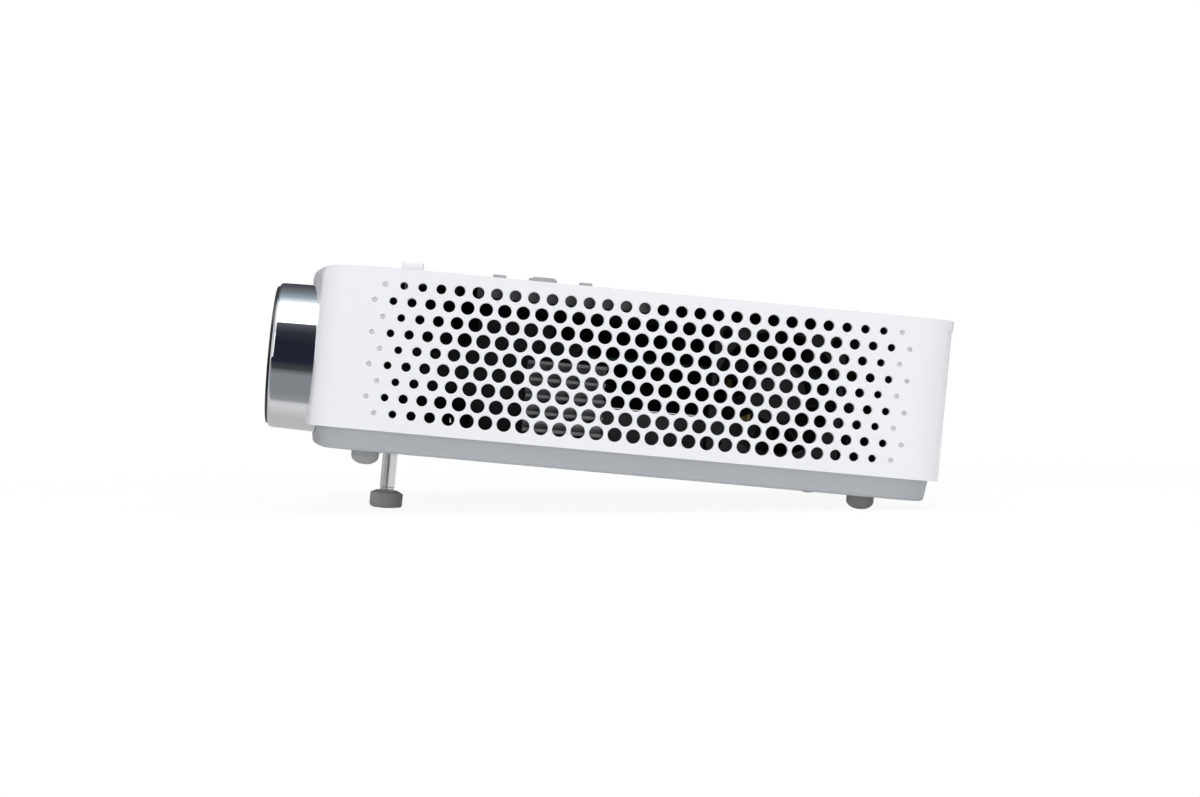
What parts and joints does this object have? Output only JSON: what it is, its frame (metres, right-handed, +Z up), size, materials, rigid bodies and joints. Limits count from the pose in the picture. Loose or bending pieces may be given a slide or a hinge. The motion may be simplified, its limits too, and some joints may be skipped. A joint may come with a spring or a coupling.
{
  "type": "projector with a built-in disc player",
  "caption": "Compact projector with a perforated side, a chromed lens ring, touch-style keys, a tilt foot and a slim disc drive whose tray opens at the far side.",
  "frame": {"origin": "mouth of the tripod thread, in the middle of the underside of the base", "axes": "+X from the lens end to the socket end, +Y towards the side where the tray opens, +Z up from the level base"},
  "size_m": [0.2627, 0.2166, 0.0975],
  "materials": {
    "white_case": "satin gloss",
    "base_grey": "fine matt",
    "foot_rubber": "matt",
    "chromed_ring": "polished",
    "steel_rod": "polished",
    "black_trim": "satin",
    "black_inner": "matt",
    "lens_glass": "coated",
    "knob_white": "translucent satin",
    "key_grey": "fine matt",
    "dark_metal": "satin",
    "fin_metal": "extruded",
    "sheet_steel": "zinc coated",
    "screw_steel": "black oxide",
    "board_green": "solder mask",
    "board_brown": "bare laminate",
    "chip_black": "moulded",
    "post_brass": "plain",
    "socket_metal": "satin",
    "socket_blue": "moulded",
    "jack_yellow": "moulded",
    "jack_green": "moulded",
    "infrared_red": "polished",
    "rail_nylon": "moulded"
  },
  "bodies": {
    "housing": {"left_panel": "white_case", "right_panel": "white_case", "far_grille": "white_case", "top_cover": "white_case", "front_panel": "white_case", "rear_panel": "white_case", "base_tray": "base_grey", "standoffs": "sheet_steel", "case_screws": "screw_steel", "rubber_feet": "foot_rubber", "foot_guide": "black_inner", "lens_ring": "chromed_ring", "lens_bezel": "black_trim", "lens_mount": "black_inner", "light_engine": "dark_metal", "heat_sink": "fin_metal", "fan_frame": "black_inner", "main_board": "board_green", "board_chips": "chip_black", "board_posts": "post_brass", "power_board": "board_brown", "power_parts": "chip_black", "speaker": "black_inner", "hdmi_socket": "socket_metal", "usb_socket": "socket_metal", "vga_socket": "socket_blue", "av_jack": "jack_yellow", "audio_jack": "jack_green", "power_inlet": "black_trim", "ir_window": "infrared_red", "key_board": "board_green", "key_bracket": "sheet_steel", "drive_chassis": "sheet_steel", "drive_cover": "sheet_steel", "drive_brackets": "sheet_steel"},
    "tilt_foot": {"foot_rod": "steel_rod", "foot_pad": "foot_rubber"},
    "focus_knob": {"focus_slider": "knob_white"},
    "focus_gear": {"focus_ring": "black_inner"},
    "barrel": {"lens_barrel": "black_inner", "front_lens": "lens_glass", "rear_lens": "lens_glass"},
    "fan_wheel": {"fan_rotor": "black_inner"},
    "front_key": {"key_front": "key_grey"},
    "rear_key": {"key_rear": "key_grey"},
    "near_key": {"key_near": "key_grey"},
    "far_key": {"key_far": "key_grey"},
    "centre_key": {"ok_key": "key_grey"},
    "on_key": {"power_key": "key_grey"},
    "rails": {"tray_rails": "rail_nylon"},
    "tray": {"disc_tray": "black_inner", "tray_bezel": "white_case", "spindle_motor": "sheet_steel", "sled_rods": "steel_rod", "sled_motor": "sheet_steel"},
    "hub": {"disc_hub": "black_inner"},
    "sled": {"laser_sled": "dark_metal"},
    "screw": {"lead_screw": "steel_rod"},
    "eject": {"eject_button": "key_grey"}
  },
  "joints": [
    {"name": "tilt_foot_slide", "type": "slide", "parent": "housing", "child": "tilt_foot", "axis": [0, 0, 1], "range_m": [-0.002, 0.0178]},
    {"name": "focus_slide", "type": "slide", "parent": "housing", "child": "focus_knob", "axis": [0, 1, 0], "range_m": [-0.0054, 0.0054]},
    {"name": "focus_gear_turn", "type": "hinge", "parent": "housing", "child": "focus_gear", "pos_m": [-0.0843, -0.068, 0.0332], "axis": [-1, 0, 0], "range_deg": [-11.1, 11.1]},
    {"name": "barrel_slide", "type": "slide", "parent": "housing", "child": "barrel", "axis": [-1, 0, 0], "range_m": [-0.0015, 0.0015]},
    {"name": "fan_spin", "type": "hinge", "parent": "housing", "child": "fan_wheel", "pos_m": [0.058, -0.103, 0.036], "axis": [0, 1, 0], "continuous": true},
    {"name": "front_key_press", "type": "slide", "parent": "housing", "child": "front_key", "axis": [0, 0, -1], "range_m": [0, 0.0006], "stiffness_N_per_m": 700, "springref_m": -0.0008},
    {"name": "rear_key_press", "type": "slide", "parent": "housing", "child": "rear_key", "axis": [0, 0, -1], "range_m": [0, 0.0006], "stiffness_N_per_m": 700, "springref_m": -0.0008},
    {"name": "near_key_press", "type": "slide", "parent": "housing", "child": "near_key", "axis": [0, 0, -1], "range_m": [0, 0.0006], "stiffness_N_per_m": 700, "springref_m": -0.0008},
    {"name": "far_key_press", "type": "slide", "parent": "housing", "child": "far_key", "axis": [0, 0, -1], "range_m": [0, 0.0006], "stiffness_N_per_m": 700, "springref_m": -0.0008},
    {"name": "centre_key_press", "type": "slide", "parent": "housing", "child": "centre_key", "axis": [0, 0, -1], "range_m": [0, 0.0006], "stiffness_N_per_m": 700, "springref_m": -0.0008},
    {"name": "power_key_press", "type": "slide", "parent": "housing", "child": "on_key", "axis": [0, 0, -1], "range_m": [0, 0.0006], "stiffness_N_per_m": 700, "springref_m": -0.0008},
    {"name": "tray_slide", "type": "slide", "parent": "housing", "child": "tray", "axis": [0, 1, 0], "range_m": [0, 0.1265]},
    {"name": "rail_slide", "type": "slide", "parent": "housing", "child": "rails", "axis": [0, 1, 0], "range_m": [0, 0.06325]},
    {"name": "hub_spin", "type": "hinge", "parent": "tray", "child": "hub", "pos_m": [0, 0.0417, 0.0125], "axis": [0, 0, 1], "continuous": true},
    {"name": "screw_turn", "type": "hinge", "parent": "tray", "child": "screw", "pos_m": [0.0205, 0.0197, 0.0149], "axis": [0, 1, 0], "range_deg": [-0.5, 3600.5]},
    {"name": "sled_slide", "type": "slide", "parent": "tray", "child": "sled", "axis": [0, -1, 0], "range_m": [0, 0.03]},
    {"name": "eject_press", "type": "slide", "parent": "tray", "child": "eject", "axis": [0, -1, 0], "range_m": [0, 0.0006], "stiffness_N_per_m": 700, "springref_m": -0.0008}
  ],
  "couplings": [
    {"joint": "focus_gear_turn", "follows": "focus_slide", "rad_per_m": 35.714},
    {"joint": "barrel_slide", "follows": "focus_slide", "ratio": 0.27778},
    {"joint": "rail_slide", "follows": "tray_slide", "ratio": 0.5},
    {"joint": "screw_turn", "follows": "sled_slide", "rad_per_m": 2094.4}
  ]
}
